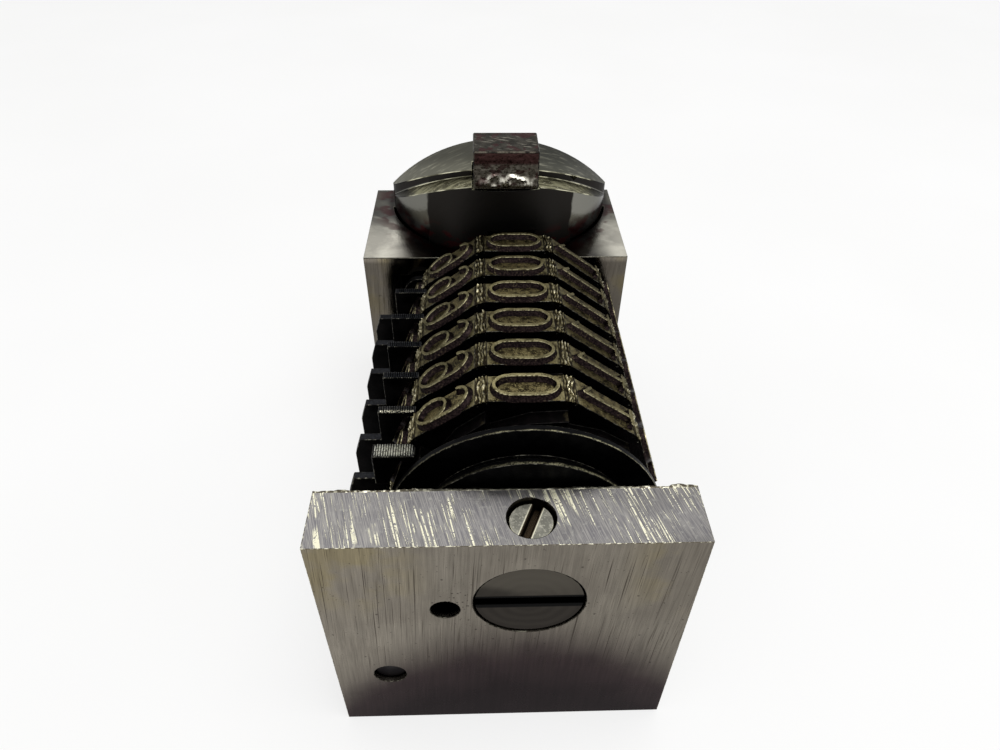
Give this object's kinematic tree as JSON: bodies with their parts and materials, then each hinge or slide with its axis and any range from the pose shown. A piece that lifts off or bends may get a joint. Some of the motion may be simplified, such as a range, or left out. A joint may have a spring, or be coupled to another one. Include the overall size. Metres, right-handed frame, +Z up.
{
  "type": "letterpress numbering machine",
  "caption": "Steel letterpress numbering machine: figure wheels on a shaft in an open case, with finger pawls and a sprung half-round plunger that feeds them.",
  "frame": {"origin": "centre of the case's base, in the plane it stands on", "axes": "+Z up towards the printing figures; +Y from the wall with the slotted shaft head towards the plunger; +X to the right seen from that wall"},
  "size_m": [0.022, 0.0408, 0.0289],
  "materials": {
    "ground_case_steel": "ground and scratched bright steel",
    "polished_steel": "polished steel of shafts, pins and screws",
    "blackened_steel": "chemically blackened, oily, bright on worn edges",
    "worn_wheel_steel": "blackened type wheels, worn to a dull bronze on the figures",
    "plunger_steel": "polished steel with a trace of ink",
    "spring_steel": "bright spring steel"
  },
  "bodies": {
    "case": {"case": "ground_case_steel", "wheel_shaft": "polished_steel", "shaft_lock_screw": "polished_steel", "retaining_pawl_shaft": "polished_steel", "pawl_sleeve_front": "blackened_steel", "pawl_sleeve_rear": "blackened_steel", "retaining_pawl_spring": "spring_steel", "comb_spring_screw_1": "polished_steel", "comb_spring_screw_2": "polished_steel", "plunger_spring_left": "spring_steel", "plunger_spring_right": "spring_steel"},
    "plunger": {"plunger": "plunger_steel", "plunger_slug": "plunger_steel"},
    "swing": {"swing_front_cheek": "blackened_steel", "swing_rear_arm": "blackened_steel", "drive_pin": "polished_steel", "swing_bridge": "blackened_steel", "feed_pawl_shaft": "polished_steel", "feed_pawl_spring": "spring_steel"},
    "feed_pawl": {"feed_pawl": "blackened_steel"},
    "wheel_1": {"type_wheel_1": "worn_wheel_steel"},
    "wheel_2": {"type_wheel_2": "worn_wheel_steel"},
    "wheel_3": {"type_wheel_3": "worn_wheel_steel"},
    "wheel_4": {"type_wheel_4": "worn_wheel_steel"},
    "wheel_5": {"type_wheel_5": "worn_wheel_steel"},
    "wheel_6": {"type_wheel_6": "worn_wheel_steel"},
    "retaining_pawl_1": {"retaining_pawl_1": "blackened_steel"},
    "retaining_pawl_2": {"retaining_pawl_2": "blackened_steel"},
    "retaining_pawl_3": {"retaining_pawl_3": "blackened_steel"},
    "retaining_pawl_4": {"retaining_pawl_4": "blackened_steel"},
    "retaining_pawl_5": {"retaining_pawl_5": "blackened_steel"},
    "retaining_pawl_6": {"retaining_pawl_6": "blackened_steel"}
  },
  "joints": [
    {"name": "plunger_slide", "type": "slide", "parent": "case", "child": "plunger", "axis": [0, 0, -1], "range_m": [0, 0.0056], "stiffness_N_per_m": 1500, "springref_m": -0.003, "deforming": ["plunger_spring_left", "plunger_spring_right"]},
    {"name": "swing_hinge", "type": "hinge", "parent": "case", "child": "swing", "pos_m": [0.0013, -0.0034, 0.01452], "axis": [0, -1, 0], "range_deg": [0, 40]},
    {"name": "feed_pawl_hinge", "type": "hinge", "parent": "swing", "child": "feed_pawl", "pos_m": [0.00093, -0.0034, 0.00393], "axis": [0, 1, 0], "range_deg": [0, 4], "stiffness_Nm_per_rad": 0.01, "springref_deg": -6.88},
    {"name": "wheel_1_turn", "type": "hinge", "parent": "case", "child": "wheel_1", "pos_m": [0.0013, -0.01161, 0.01452], "axis": [0, -1, 0], "continuous": true},
    {"name": "wheel_2_turn", "type": "hinge", "parent": "case", "child": "wheel_2", "pos_m": [0.0013, -0.00823, 0.01452], "axis": [0, -1, 0], "continuous": true},
    {"name": "wheel_3_turn", "type": "hinge", "parent": "case", "child": "wheel_3", "pos_m": [0.0013, -0.00487, 0.01452], "axis": [0, -1, 0], "continuous": true},
    {"name": "wheel_4_turn", "type": "hinge", "parent": "case", "child": "wheel_4", "pos_m": [0.0013, -0.0015, 0.01452], "axis": [0, -1, 0], "continuous": true},
    {"name": "wheel_5_turn", "type": "hinge", "parent": "case", "child": "wheel_5", "pos_m": [0.0013, 0.00187, 0.01452], "axis": [0, -1, 0], "continuous": true},
    {"name": "wheel_6_turn", "type": "hinge", "parent": "case", "child": "wheel_6", "pos_m": [0.0013, 0.00524, 0.01452], "axis": [0, -1, 0], "continuous": true},
    {"name": "retaining_pawl_1_hinge", "type": "hinge", "parent": "case", "child": "retaining_pawl_1", "pos_m": [-0.0075, -0.0128, 0.00624], "axis": [0, -1, 0], "range_deg": [0, 6], "stiffness_Nm_per_rad": 0.01, "springref_deg": -6.88},
    {"name": "retaining_pawl_2_hinge", "type": "hinge", "parent": "case", "child": "retaining_pawl_2", "pos_m": [-0.0075, -0.00942, 0.00624], "axis": [0, -1, 0], "range_deg": [0, 6], "stiffness_Nm_per_rad": 0.01, "springref_deg": -6.88},
    {"name": "retaining_pawl_3_hinge", "type": "hinge", "parent": "case", "child": "retaining_pawl_3", "pos_m": [-0.0075, -0.00605, 0.00624], "axis": [0, -1, 0], "range_deg": [0, 6], "stiffness_Nm_per_rad": 0.01, "springref_deg": -6.88},
    {"name": "retaining_pawl_4_hinge", "type": "hinge", "parent": "case", "child": "retaining_pawl_4", "pos_m": [-0.0075, -0.00268, 0.00624], "axis": [0, -1, 0], "range_deg": [0, 6], "stiffness_Nm_per_rad": 0.01, "springref_deg": -6.88},
    {"name": "retaining_pawl_5_hinge", "type": "hinge", "parent": "case", "child": "retaining_pawl_5", "pos_m": [-0.0075, 0.00068, 0.00624], "axis": [0, -1, 0], "range_deg": [0, 6], "stiffness_Nm_per_rad": 0.01, "springref_deg": -6.88},
    {"name": "retaining_pawl_6_hinge", "type": "hinge", "parent": "case", "child": "retaining_pawl_6", "pos_m": [-0.0075, 0.00405, 0.00624], "axis": [0, -1, 0], "range_deg": [0, 6], "stiffness_Nm_per_rad": 0.01, "springref_deg": -6.88}
  ],
  "couplings": [
    {"joint": "swing_hinge", "follows": "plunger_slide", "rad_per_m": 124.66}
  ]
}
